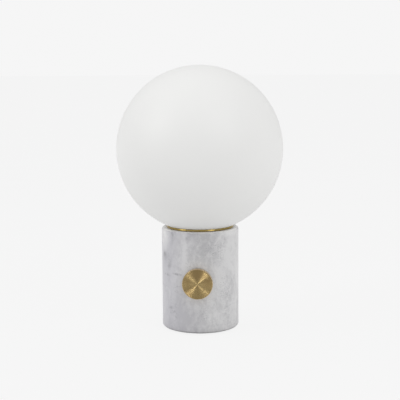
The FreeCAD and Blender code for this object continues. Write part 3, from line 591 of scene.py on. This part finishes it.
def lathe(name, profile, segments, closed=False):
    """Turned mesh about Z: a circle is extruded and scaled along a profile of (radius, height)."""
    deselect()
    radius, height = max(profile[0][0], POLE), profile[0][1]
    bpy.ops.mesh.primitive_circle_add(vertices=segments, radius=radius, fill_type="NOTHING")
    piece = named(bpy.context.object, name)
    bpy.ops.object.mode_set(mode="EDIT")
    bpy.ops.mesh.select_all(action="SELECT")
    bpy.ops.transform.translate(value=(0, 0, height))
    for next_radius, next_height in profile[1:] + (profile[:1] if closed else []):
        bpy.ops.mesh.extrude_edges_move(TRANSFORM_OT_translate={"value": (0, 0, next_height - height)})
        scale = max(next_radius, POLE) / radius
        bpy.ops.transform.resize(value=(scale, scale, 1), center_override=(0, 0, next_height))
        radius, height = max(next_radius, POLE), next_height
    bpy.ops.mesh.select_all(action="SELECT")
    bpy.ops.mesh.remove_doubles(threshold=MERGE_DISTANCE)
    bpy.ops.mesh.normals_make_consistent(inside=False)
    bpy.ops.object.mode_set(mode="OBJECT")
    return piece


def smooth(piece, degrees):
    """Shades a piece smooth, with edges sharper than an angle left crisp."""
    pick(piece)
    bpy.ops.object.shade_smooth_by_angle(angle=math.radians(degrees))


def point_along_y(piece, way, height):
    """Turns a piece made along +Z to point along Y, at a height, and applies it."""
    pick(piece)
    piece.rotation_euler = (-way * math.pi / 2, 0, 0)
    piece.location = (0, 0, height)
    bpy.ops.object.transform_apply(location=True, rotation=True, scale=True)


def drill(piece, radius, near, far, way, height):
    """Cuts a round hole along Y out of a piece, between two distances from the lamp's axis."""
    deselect()
    bpy.ops.mesh.primitive_cylinder_add(vertices=HOLE_SIDES, radius=radius, depth=far - near,
                                        location=(0, way * (near + far) / 2, height),
                                        rotation=(math.pi / 2, 0, 0))
    cutter = bpy.context.object
    pick(piece)
    cut = piece.modifiers.new("hole", "BOOLEAN")
    cut.object = cutter
    cut.solver = "EXACT"
    bpy.ops.object.modifier_apply(modifier=cut.name)
    bpy.data.objects.remove(cutter)


def coil(name, radius, section, pitch, bottom, turns):
    """Rolled thread: a small circle wound up Z by a screw modifier."""
    deselect()
    bpy.ops.mesh.primitive_circle_add(vertices=THREAD_SIDES, radius=section, location=(radius, 0, bottom),
                                      rotation=(math.pi / 2, 0, 0))
    piece = named(bpy.context.object, name)
    bpy.ops.object.transform_apply(location=True, rotation=True, scale=True)
    wind = piece.modifiers.new("thread", "SCREW")
    wind.screw_offset = pitch
    wind.iterations = turns
    wind.steps = THREAD_STEPS
    wind.render_steps = THREAD_STEPS
    bpy.ops.object.modifier_apply(modifier=wind.name)
    bpy.ops.object.mode_set(mode="EDIT")
    bpy.ops.mesh.select_all(action="DESELECT")
    bpy.ops.mesh.select_non_manifold()
    bpy.ops.mesh.fill_holes(sides=0)
    bpy.ops.mesh.select_all(action="SELECT")
    bpy.ops.mesh.normals_make_consistent(inside=False)
    bpy.ops.object.mode_set(mode="OBJECT")
    return piece


def dress(piece, material):
    """Gives a piece one finish."""
    piece.data.materials.clear()
    piece.data.materials.append(material)


def install(piece, body, slot, *nodes):
    """Says what a modelled piece rides on and hides the solids that it stands for; its slot argument is not
    used.
    """
    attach(piece, body)
    if nodes:
        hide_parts(*nodes)


def dress_nodes(material, *nodes):
    """Gives solids that aren't modelled again one finish."""
    for node in nodes:
        dress(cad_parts[node], material)


class LAMP_OT_globe(bpy.types.Operator):
    """Blows the opal globe with its short neck and fire-polished lip"""

    bl_idname = "lamp.globe"
    bl_label = "Opal globe"

    def execute(self, context):
        s = context.scene.lamp_sizes
        inner = s.globe_radius - s.globe_wall
        center = high("globe").z - s.globe_radius
        root_r = s.neck_radius + s.neck_root
        root_z = center - math.sqrt((s.globe_radius + s.neck_root) ** 2 - root_r**2)
        lean = math.degrees(math.atan2(root_z - center, root_r))
        lip_r = s.neck_radius - s.globe_wall / 2
        lip_z = low("globe").z + s.globe_wall / 2
        profile = arc((0, center), s.globe_radius, 90, lean, steps=BALL_STEPS)
        profile += arc((root_r, root_z), s.neck_root, lean + 180, 180)[1:]
        profile += arc((lip_r, lip_z), s.globe_wall / 2, 0, -180, steps=8)
        profile += arc((root_r, root_z), s.neck_root + s.globe_wall, 180, lean + 180)
        profile += arc((0, center), inner, lean, 90, steps=BALL_STEPS)[1:]
        piece = lathe("opal_globe", profile, s.smoothness)
        smooth(piece, degrees=40)
        dress(piece, satin_opal(context.scene.lamp_colours))
        install(piece, "globe", "opal_glass", "globe")
        return {"FINISHED"}


class LAMP_OT_column(bpy.types.Operator):
    """Turns, core-drills and spot-faces the marble column"""

    bl_idname = "lamp.column"
    bl_label = "Marble column"

    def execute(self, context):
        s = context.scene.lamp_sizes
        bottom, top = low("marble_column").z, high("marble_column").z
        radius = high("marble_column").x
        edge = s.column_edge
        plate_top = bottom + s.plate_seat_depth
        well_floor = top - s.well_seat_depth
        profile = [(s.cavity_radius, plate_top), (s.plate_seat_radius, plate_top)]
        profile += [(s.plate_seat_radius, bottom)]
        profile += arc((radius - edge, bottom + edge), edge, -90, 0, steps=10)
        profile += arc((radius - edge, top - edge), edge, 0, 90, steps=10)
        profile += [(s.well_seat_radius, top), (s.well_seat_radius, well_floor)]
        profile += [(s.cavity_radius, well_floor)]
        piece = lathe("stone_column", profile, s.smoothness + STONE_EXTRA_SIDES, closed=True)
        beyond = radius + edge
        knob_z = (low("knob").z + high("knob").z) / 2
        cord_z = (low("cord_bush").z + high("cord_bush").z) / 2
        drill(piece, s.dimmer_seat_radius, radius - s.dimmer_seat_depth, beyond, FRONT, knob_z)
        drill(piece, s.dimmer_hole_radius, s.cavity_radius / 2, beyond, FRONT, knob_z)
        drill(piece, s.cord_seat_radius, radius - s.cord_seat_depth, beyond, REAR, cord_z)
        drill(piece, s.cord_hole_radius, s.cavity_radius / 2, beyond, REAR, cord_z)
        smooth(piece, degrees=35)
        dress(piece, grey_marble(context.scene.lamp_colours, top, edge))
        install(piece, "base", "grey_marble", "marble_column")
        return {"FINISHED"}


def rim_profile(s, center, stone, rim, inner):
    """Outside of the gallery's leaning rim: its foot on the stone, its edge and its side at the glass."""
    lip = s.globe_radius + s.rim_gap
    lean = math.degrees(s.rim_lean)
    foot = arc((rim - s.rim_foot, stone + s.rim_foot), s.rim_foot, -90, lean)
    outward = Vector((math.cos(s.rim_lean), math.sin(s.rim_lean)))
    upward = Vector((-outward.y, outward.x))
    start = Vector(foot[-1]) - s.rim_edge * outward - Vector((0, center))
    climb = start.dot(upward)
    rise = -climb - math.sqrt(climb**2 - start.length_squared + (lip + s.rim_edge) ** 2)
    edge = start + rise * upward
    touch = math.degrees(math.atan2(edge.y, edge.x))
    touch_in = -math.degrees(math.acos(inner / lip))
    rounding = arc((edge.x, center + edge.y), s.rim_edge, lean, touch + 180, steps=12)
    return foot + rounding + arc((0, center), lip, touch, touch_in, steps=4)[1:]


class LAMP_OT_gallery(bpy.types.Operator):
    """Spins the brass gallery, with a rim that follows the glass and a well for its neck"""

    bl_idname = "lamp.gallery"
    bl_label = "Brass gallery"

    def execute(self, context):
        s = context.scene.lamp_sizes
        center = high("globe").z - s.globe_radius
        stone = high("marble_column").z
        bottom = low("globe_gallery").z
        floor = bottom + s.well_sheet
        rim = high("globe_gallery").x
        inner = rim - s.rim_wall
        outer_well = s.well_radius + s.well_sheet
        bend = (outer_well - s.well_bend, bottom + s.well_bend)
        profile = [(s.tube_hole, bottom)]
        profile += arc(bend, s.well_bend, -90, 0)
        profile += [(outer_well, stone)]
        profile += rim_profile(s, center, stone, rim, inner)
        profile += [(inner, stone + s.flange), (s.well_radius, stone + s.flange)]
        profile += arc(bend, s.well_bend - s.well_sheet, 0, -90)
        profile += [(s.tube_hole, floor)]
        piece = lathe("brass_gallery", profile, s.smoothness, closed=True)
        smooth(piece, degrees=35)
        c = context.scene.lamp_colours
        # Painted contact shade in the gallery's corner on the stone, and a painted reflection along its lip
        corner = Spot(center=(0, 0, stone / MM), reach=CORNER_REACH)
        lit_lip_line = Spot(center=(0, 0, stone / MM + LIP_HEIGHT), reach=LIP_REACH)
        f, _ = turned_brass("turned_brass", c.ring_brass, c.ring_tarnish_and_shade, center=(0, 0, 0), axis="Z",
                            depth=0.04 * MM, roughness=0.165, shade_spot=corner, bright=lit_lip_line)
        dress(piece, f.material)
        install(piece, "base", "turned_brass", "globe_gallery")
        return {"FINISHED"}


def turned_face(s, face, front):
    """The knob's face from its middle outwards, with grooves and ridges in turn."""
    lines = int(face / s.turning_pitch)
    profile = [(0, front - s.turning_depth)]
    for k in range(1, lines):
        spread = k * GOLDEN_RATIO % 1
        depth = GROOVE_DEPTH + GROOVE_SPREAD * spread if k % 2 else RIDGE_SPREAD * spread
        profile.append((k * face / lines, front - s.turning_depth * depth))
    return profile + [(face, front)]


class LAMP_OT_knob(bpy.types.Operator):
    """Turns the brass knob, with fine turned lines over its face"""

    bl_idname = "lamp.knob"
    bl_label = "Turned knob"

    def execute(self, context):
        s = context.scene.lamp_sizes
        box_low, box_high = low("knob"), high("knob")
        radius = (box_high.x - box_low.x) / 2
        front, back = -box_low.y, -box_high.y
        center_z = (box_high.z + box_low.z) / 2
        profile = turned_face(s, radius - s.knob_chamfer, front)
        profile += [(radius, front - s.knob_chamfer), (radius, back + s.knob_back_chamfer)]
        profile += [(radius - s.knob_back_chamfer, back), (s.knob_bore, back)]
        profile += [(s.knob_bore, front - s.knob_cover), (0, front - s.knob_cover)]
        piece = lathe("turned_knob", profile, SMALL_SIDES)
        point_along_y(piece, FRONT, center_z)
        smooth(piece, degrees=12)
        c = context.scene.lamp_colours
        center = (0, 0, center_z)
        # Painted shade at the knob's top and a painted reflection at its bottom
        top = Spot(center=(0, -front / MM, box_high.z / MM), reach=KNOB_REACH)
        bottom = Spot(center=(0, -front / MM, box_low.z / MM), reach=KNOB_REACH)
        f, colour = turned_brass("knob_brass", c.brass, c.brass_tarnish_and_shade, center, axis="Y",
                                 depth=0.006 * MM, roughness=0.19, shade_spot=top, bright=bottom)
        worn_and_lit_brass(f, colour, c.brass_worn_and_lit, center, "Y", radius)
        dress(piece, f.material)
        install(piece, "knob", "turned_brass", "knob")
        dress_nodes(plated_metal("black_steel", (0.05, 0.05, 0.055), roughness=0.35), "knob_grub_screw")
        return {"FINISHED"}


class LAMP_OT_bulb(bpy.types.Operator):
    """Finishes the screw-cap lamp and rolls its thread"""

    bl_idname = "lamp.bulb"
    bl_label = "Screw-cap lamp"

    def execute(self, context):
        s = context.scene.lamp_sizes
        cap_low, cap_high = low("bulb_cap"), high("bulb_cap")
        nickel = plated_metal("nickel_cap", (0.66, 0.66, 0.64), roughness=0.22)
        thread = coil("cap_thread", radius=cap_high.x - CAP_THREAD_SINK * s.thread_round,
                      section=s.thread_round, pitch=s.cap_pitch,
                      bottom=cap_low.z + s.cap_pitch / 2, turns=4)
        smooth(thread, degrees=50)
        dress(thread, nickel)
        install(thread, "bulb", "nickel_cap")
        opal = moulded("bulb_opal", (0.88, 0.88, 0.87), roughness=0.42, grain=2600, depth=0.01 * MM)
        dress_nodes(nickel, "bulb_cap", "bulb_tip")
        dress_nodes(moulded("cap_glass", (0.02, 0.02, 0.03), roughness=0.12), "bulb_insulator")
        dress_nodes(moulded("white_housing", (0.82, 0.82, 0.81), roughness=0.34), "bulb_housing")
        dress_nodes(opal, "bulb_diffuser")
        dress_nodes(moulded("board_white", (0.85, 0.85, 0.85), roughness=0.5), "bulb_led_plate")
        return {"FINISHED"}


class LAMP_OT_holder(bpy.types.Operator):
    """Finishes the lampholder and cuts the thread on its skirt"""

    bl_idname = "lamp.holder"
    bl_label = "Lampholder"

    def execute(self, context):
        s = context.scene.lamp_sizes
        body_low, body_high = low("lampholder_body"), high("lampholder_body")
        black = moulded("black_holder", (0.03, 0.03, 0.032), roughness=0.38)
        pitch = s.cap_pitch * SKIRT_PITCH
        thread = coil("skirt_thread", radius=body_high.x - SKIRT_THREAD_SINK * s.thread_round,
                      section=s.thread_round, pitch=pitch, bottom=body_low.z + 2 * pitch, turns=6)
        smooth(thread, degrees=50)
        dress(thread, black)
        install(thread, "base", "black_holder")
        dress_nodes(black, "lampholder_cap", "lampholder_body", "lampholder_insert")
        dress_nodes(plated_metal("plated_brass", (0.70, 0.62, 0.45), roughness=0.25),
                    "lampholder_shell", "lampholder_contact", "dimmer_lugs", "terminal_screws")
        return {"FINISHED"}


class LAMP_OT_bush(bpy.types.Operator):
    """Moulds the rubber bush of the cord inlet"""

    bl_idname = "lamp.bush"
    bl_label = "Cord bush"

    def execute(self, context):
        s = context.scene.lamp_sizes
        box_low, box_high = low("cord_bush"), high("cord_bush")
        center_z = (box_low.z + box_high.z) / 2
        flange_r = box_high.x
        front, back = box_low.y, box_high.y
        seat = back - s.bush_flange
        rounding = s.bush_round
        profile = [(s.bush_bore, front), (s.bush_barrel, front), (s.bush_barrel, seat), (flange_r, seat)]
        profile += arc((flange_r - rounding, back - rounding), rounding, 0, 90)
        profile += arc((s.bush_bore + rounding, back - rounding), rounding, 90, 180)
        piece = lathe("moulded_bush", profile, SMALL_SIDES, closed=True)
        point_along_y(piece, REAR, center_z)
        smooth(piece, degrees=40)
        dress(piece, moulded("black_rubber", (0.03, 0.03, 0.03), roughness=0.6))
        install(piece, "base", "black_rubber", "cord_bush")
        return {"FINISHED"}


class LAMP_OT_foot(bpy.types.Operator):
    """Moulds the ribbed rubber foot pad"""

    bl_idname = "lamp.foot"
    bl_label = "Foot pad"

    def execute(self, context):
        s = context.scene.lamp_sizes
        radius, top = high("foot_pad").x, high("foot_pad").z
        groove = s.foot_round / 2
        ribs = int((radius - 2 * s.foot_rib) / s.foot_rib)
        profile = [(0, top), (radius, top)]
        profile += arc((radius - s.foot_round, s.foot_round), s.foot_round, 0, -90, steps=5)
        for k in range(ribs, 0, -1):
            middle = k * s.foot_rib
            profile += [(middle + groove, 0), (middle, groove), (middle - groove, 0)]
        profile.append((0, 0))
        piece = lathe("ribbed_foot", profile, s.smoothness)
        smooth(piece, degrees=30)
        rubber = moulded("foot_rubber", (0.035, 0.035, 0.035), roughness=0.7, grain=2400, depth=0.04 * MM)
        dress(piece, rubber)
        install(piece, "base", "black_rubber", "foot_pad")
        return {"FINISHED"}


class LAMP_OT_hardware(bpy.types.Operator):
    """Finishes the springs, seat, fastenings, dimmer, terminals and leads"""

    bl_idname = "lamp.hardware"
    bl_label = "Springs, fastenings and wiring"

    def execute(self, context):
        spring = plated_metal("spring_steel", (0.50, 0.51, 0.53), roughness=0.22)
        zinc = plated_metal("zinc_steel", (0.62, 0.63, 0.64), roughness=0.28, grain=500)
        dress_nodes(spring, "globe_clips", "clip_rivets")
        dress_nodes(zinc, "base_plate", "support_tube", "tube_bottom_washer", "tube_bottom_nut",
                    "tube_top_washer", "tube_top_nut", "dimmer_bushing", "dimmer_washer", "dimmer_nut",
                    "dimmer_shaft", "terminal_fixing_screw")
        dress_nodes(moulded("clear_silicone", (0.72, 0.72, 0.70), roughness=0.36), "seat_gasket")
        dress_nodes(moulded("black_moulding", (0.04, 0.04, 0.045), roughness=0.42), "dimmer_case")
        dress_nodes(moulded("natural_nylon", (0.80, 0.78, 0.72), roughness=0.4), "terminal_block")
        dress_nodes(moulded("blue_insulation", (0.05, 0.14, 0.42), roughness=0.4), "neutral_lead")
        dress_nodes(moulded("brown_insulation", (0.18, 0.08, 0.04), roughness=0.4), "live_lead")
        dress_nodes(moulded("black_insulation", (0.03, 0.03, 0.03), roughness=0.4), "switched_lead")
        return {"FINISHED"}


def softbox(name, power, azimuth, elevation, distance, width, height, mirrored=True):
    """Area light that faces the lamp, in degrees from the front towards the right and up from level."""
    turn, climb = math.radians(azimuth), math.radians(elevation)
    way = Vector((math.cos(climb) * math.sin(turn), -math.cos(climb) * math.cos(turn), math.sin(climb)))
    place = LIGHT_TARGET + distance * way
    facing = (LIGHT_TARGET - place).to_track_quat("-Z", "Y").to_euler()
    bpy.ops.object.light_add(type="AREA", location=place, rotation=facing)
    light = bpy.context.object
    light.name = name
    light.data.shape = "RECTANGLE"
    light.data.size = width
    light.data.size_y = height
    light.data.energy = power
    light.visible_glossy = mirrored


def soft_light(studio):
    """Two narrow lights that polished brass mirrors, and two broad ones that it doesn't."""
    softbox("right_softbox", studio.right_power, azimuth=44, elevation=33.5, distance=1.5,
            width=0.34, height=0.8)
    softbox("left_softbox", studio.left_power, azimuth=-60, elevation=31, distance=1.5,
            width=0.46, height=0.8)
    softbox("left_side_light", studio.left_side_power, azimuth=-80, elevation=55, distance=1.8,
            width=1.2, height=1.2, mirrored=False)
    softbox("right_side_light", studio.right_side_power, azimuth=85, elevation=35, distance=1.8,
            width=1.2, height=1.2, mirrored=False)


def studio_world(studio):
    """Bright backdrop for the camera, a softer fill, and darker surroundings in polished metal."""
    world = bpy.data.worlds.new("studio")
    bpy.context.scene.world = world
    world.use_nodes = True
    world.node_tree.nodes.clear()
    w = Nodes(world.node_tree)
    direct = w.ray("Camera")
    mirrored = w.ray("Glossy")
    behind = w.coordinate(w.node("TexCoord", output="Generated"), "Y")
    fill = studio.fill + behind * (studio.fill * studio.fill_lean)
    seen = mirrored * studio.sheen + direct * studio.backdrop
    brightness = fill * (1 - mirrored - direct) + seen
    light = w.node("Background", {}, {"Color": (1, 1, 1), "Strength": brightness})
    w.node("OutputWorld", {}, {"Surface": light}, output=None)


def pale_floor(colours, studio):
    """Pale floor that glows a little, so that it meets the backdrop with only a faint contact shadow."""
    f = Finish("pale_floor")
    dust = f.noise(f.place(), scale=5, detail=2)
    paint = shaded(colours.floor, studio.floor_paint)
    contact = f.rise(f.spot(f.place(), FLOOR_CONTACT), 0.45, 0.52)
    spill = f.blend(contact, shaded((1, 1, 1), studio.floor_spill), (0, 0, 0))
    glow = f.blend(f.ray("Camera") + f.ray("Glossy"), spill, (1, 1, 1))
    return f.set(Base_Color=f.blend(dust, paint, shaded(paint, 0.9)), Roughness=0.9, Specular_IOR_Level=0.0,
                 Emission_Color=glow, Emission_Strength=studio.floor_glow)


def photo_camera(studio):
    """Camera where the photograph was taken from, with its tilt and roll."""
    turn = studio.camera_azimuth
    place = Vector((studio.camera_distance * math.sin(turn), -studio.camera_distance * math.cos(turn),
                    studio.camera_height))
    bpy.ops.object.camera_add(location=place)
    camera = bpy.context.object
    camera.name = "camera"
    camera.data.sensor_width = SENSOR_WIDTH
    camera.data.lens = studio.focal_pixels / PHOTO_SIDE * SENSOR_WIDTH
    camera.data.clip_start = CLIP_START
    camera.matrix_world = (Matrix.Translation(place) @ Matrix.Rotation(turn, 4, "Z")
                           @ Matrix.Rotation(math.pi / 2 - studio.camera_pitch, 4, "X")
                           @ Matrix.Rotation(studio.camera_roll, 4, "Z"))
    return camera


class LAMP_OT_stage(bpy.types.Operator):
    """Sets the pale floor, the soft light and the camera"""

    bl_idname = "lamp.stage"
    bl_label = "Stage"

    def execute(self, context):
        studio = context.scene.lamp_studio
        deselect()
        bpy.ops.mesh.primitive_plane_add(size=FLOOR_SIDE)
        floor = context.object
        floor.name = "floor"
        bpy.ops.object.mode_set(mode="EDIT")
        bpy.ops.mesh.select_all(action="SELECT")
        bpy.ops.mesh.subdivide(number_cuts=FLOOR_CUTS)
        bpy.ops.object.mode_set(mode="OBJECT")
        dress(floor, pale_floor(context.scene.lamp_colours, studio))
        studio_world(studio)
        soft_light(studio)
        context.scene.view_settings.view_transform = "Standard"
        context.scene.camera = photo_camera(studio)
        return {"FINISHED"}


class LAMP_PT_panel(bpy.types.Panel):
    """Lists the lamp's pieces and the values behind them"""

    bl_idname = "LAMP_PT_panel"
    bl_label = "Globe table lamp"
    bl_space_type = "VIEW_3D"
    bl_region_type = "UI"
    bl_category = "Lamp"

    def draw(self, context):
        for operator in OPERATORS:
            self.layout.operator(operator.bl_idname)
        for values in (context.scene.lamp_sizes, context.scene.lamp_colours, context.scene.lamp_studio):
            box = self.layout.box()
            for name in values.bl_rna.properties.keys():
                if name not in ("rna_type", "name"):
                    box.prop(values, name)


OPERATORS = (LAMP_OT_globe, LAMP_OT_column, LAMP_OT_gallery, LAMP_OT_knob, LAMP_OT_bulb, LAMP_OT_holder,
             LAMP_OT_bush, LAMP_OT_foot, LAMP_OT_hardware, LAMP_OT_stage)
CLASSES = (LampSizes, LampColours, LampStudio, *OPERATORS, LAMP_PT_panel)


def register():
    for made in CLASSES:
        bpy.utils.register_class(made)
    bpy.types.Scene.lamp_sizes = bpy.props.PointerProperty(type=LampSizes)
    bpy.types.Scene.lamp_colours = bpy.props.PointerProperty(type=LampColours)
    bpy.types.Scene.lamp_studio = bpy.props.PointerProperty(type=LampStudio)


def unregister():
    del bpy.types.Scene.lamp_studio
    del bpy.types.Scene.lamp_colours
    del bpy.types.Scene.lamp_sizes
    for made in reversed(CLASSES):
        bpy.utils.unregister_class(made)


def main():
    register()
    bpy.ops.lamp.globe()
    bpy.ops.lamp.column()
    bpy.ops.lamp.gallery()
    bpy.ops.lamp.knob()
    bpy.ops.lamp.bulb()
    bpy.ops.lamp.holder()
    bpy.ops.lamp.bush()
    bpy.ops.lamp.foot()
    bpy.ops.lamp.hardware()
    bpy.ops.lamp.stage()


if __name__ == "__main__":
    main()
